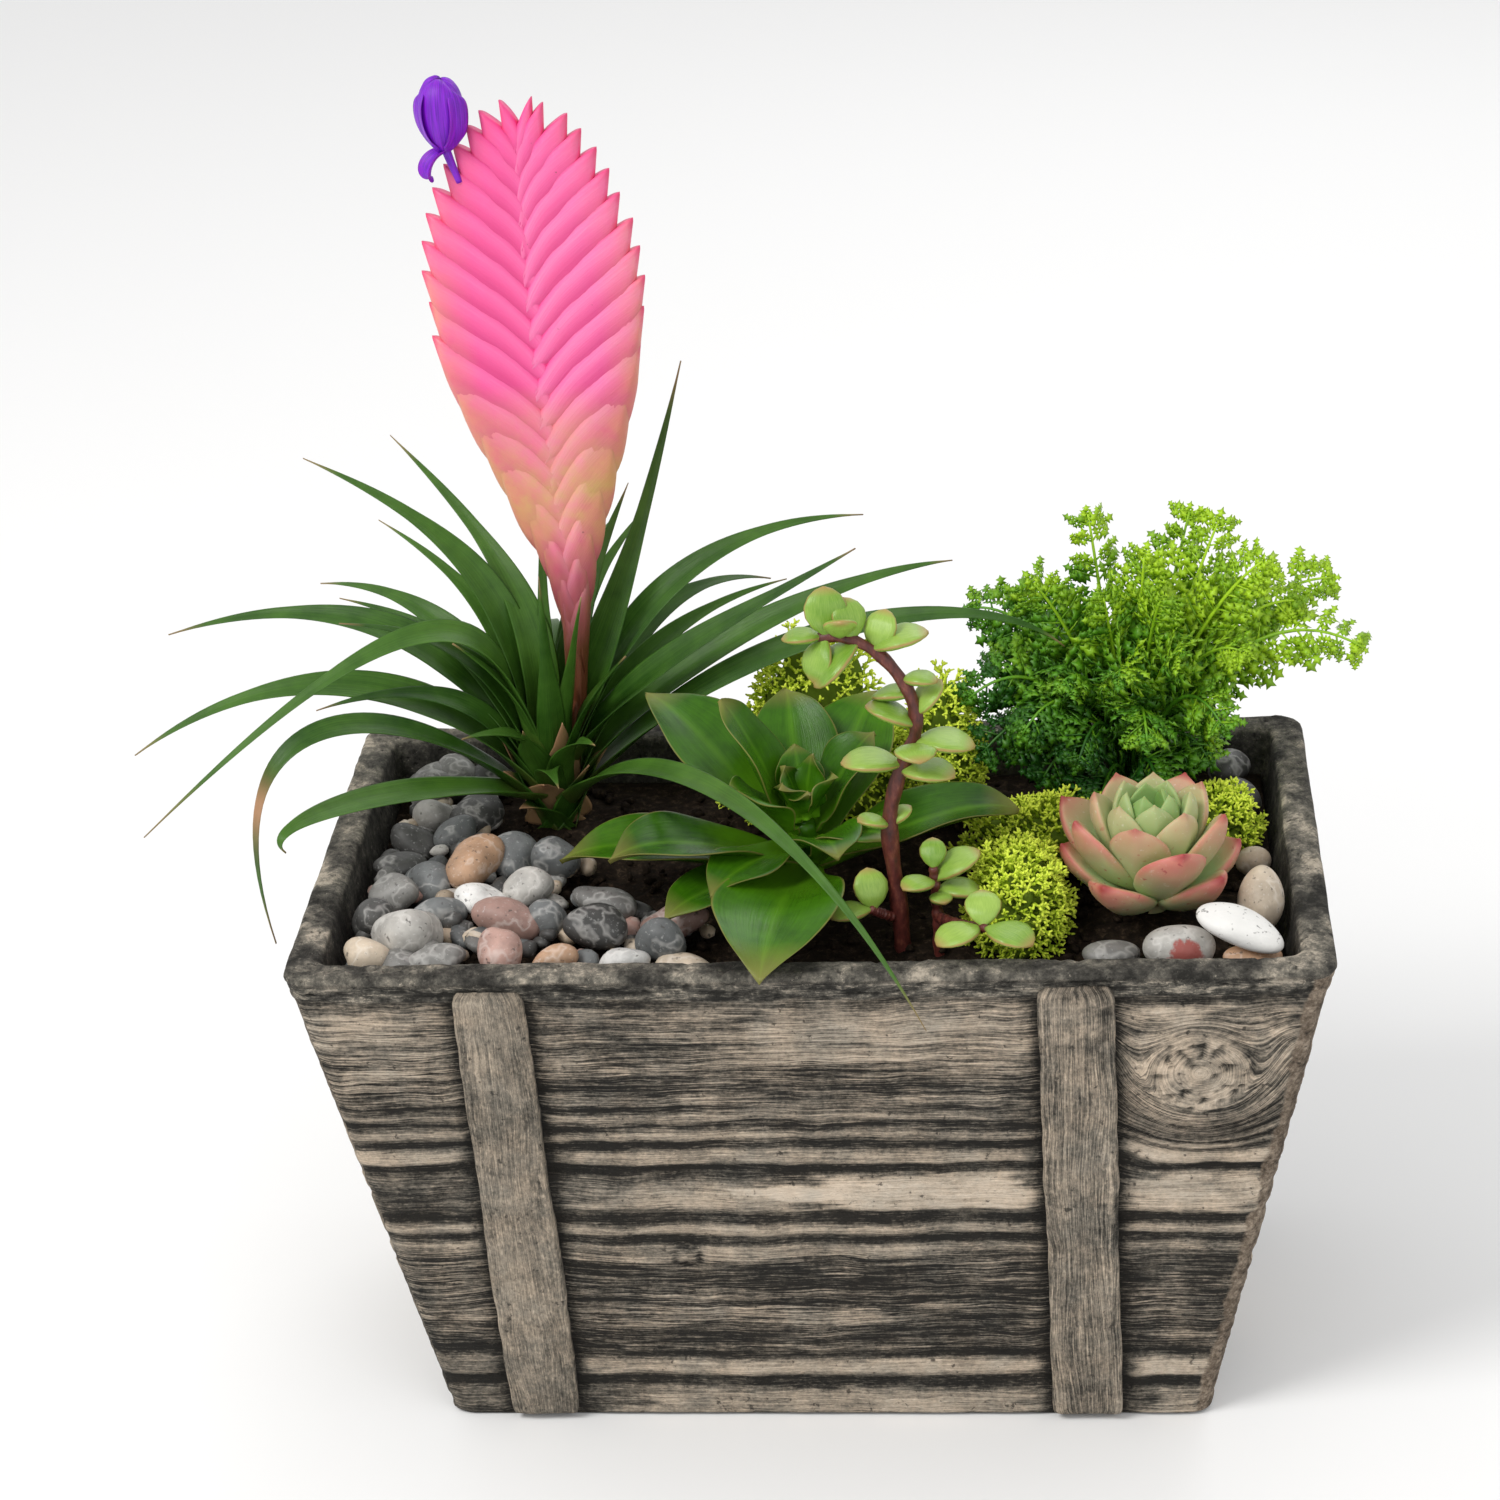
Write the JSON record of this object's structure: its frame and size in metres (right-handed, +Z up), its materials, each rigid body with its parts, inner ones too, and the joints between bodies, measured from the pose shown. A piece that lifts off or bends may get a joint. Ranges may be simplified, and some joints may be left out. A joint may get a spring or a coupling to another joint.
{
  "type": "succulent dish garden",
  "caption": "Tapered rectangular planter cast to look like boards, planted with a pink quill plant, rosettes, a jade bush, a lace fern, moss and pebbles.",
  "frame": {"origin": "centre of the planter's flat underside", "axes": "+X along the box to the right as seen from the front, +Y to the back, +Z up; the front is -Y, where the quill plant is on the left"},
  "size_m": [0.3634, 0.2028, 0.3785],
  "materials": {
    "cast_stone": "matt, cast to look like weathered boards",
    "soil": "dark, crumbly, matt",
    "pebble": "river-worn, dull, mixed greys, whites and tans",
    "pale_stone": "river-worn, dull",
    "quill_leaf": "satin leaf, stands for a living leaf",
    "quill_bract": "satin bract, stands for a living bract",
    "quill_petal": "soft petal, stands for a living petal",
    "rosette_leaf": "waxy leaf, stands for a living leaf",
    "echeveria_leaf": "powdery leaf, stands for a living leaf",
    "jade_leaf": "waxy leaf, stands for a living leaf",
    "fern_frond": "soft frond, stands for a living frond",
    "reindeer_moss": "dry and matt, stands for preserved moss"
  },
  "bodies": {
    "root": {"planter_box": "cast_stone", "soil": "soil", "pebble_bed": "pebble", "stone_dark_flat": "pebble", "stone_red_spotted": "pebble", "stone_tan": "pebble", "stone_speckled": "pale_stone", "stone_white": "pale_stone", "stone_small_beige": "pebble", "stone_corner_grey": "pebble", "stone_corner_dark": "pebble", "quill_plant_leaves": "quill_leaf", "quill_pink_spike": "quill_bract", "quill_violet_flower": "quill_petal", "green_rosette": "rosette_leaf", "blush_echeveria": "echeveria_leaf", "jade_main_stem": "jade_leaf", "jade_side_stem": "jade_leaf", "lace_fern": "fern_frond", "moss_back": "reindeer_moss", "moss_middle": "reindeer_moss", "moss_front": "reindeer_moss", "moss_right": "reindeer_moss", "moss_strip": "reindeer_moss"}
  },
  "joints": []
}
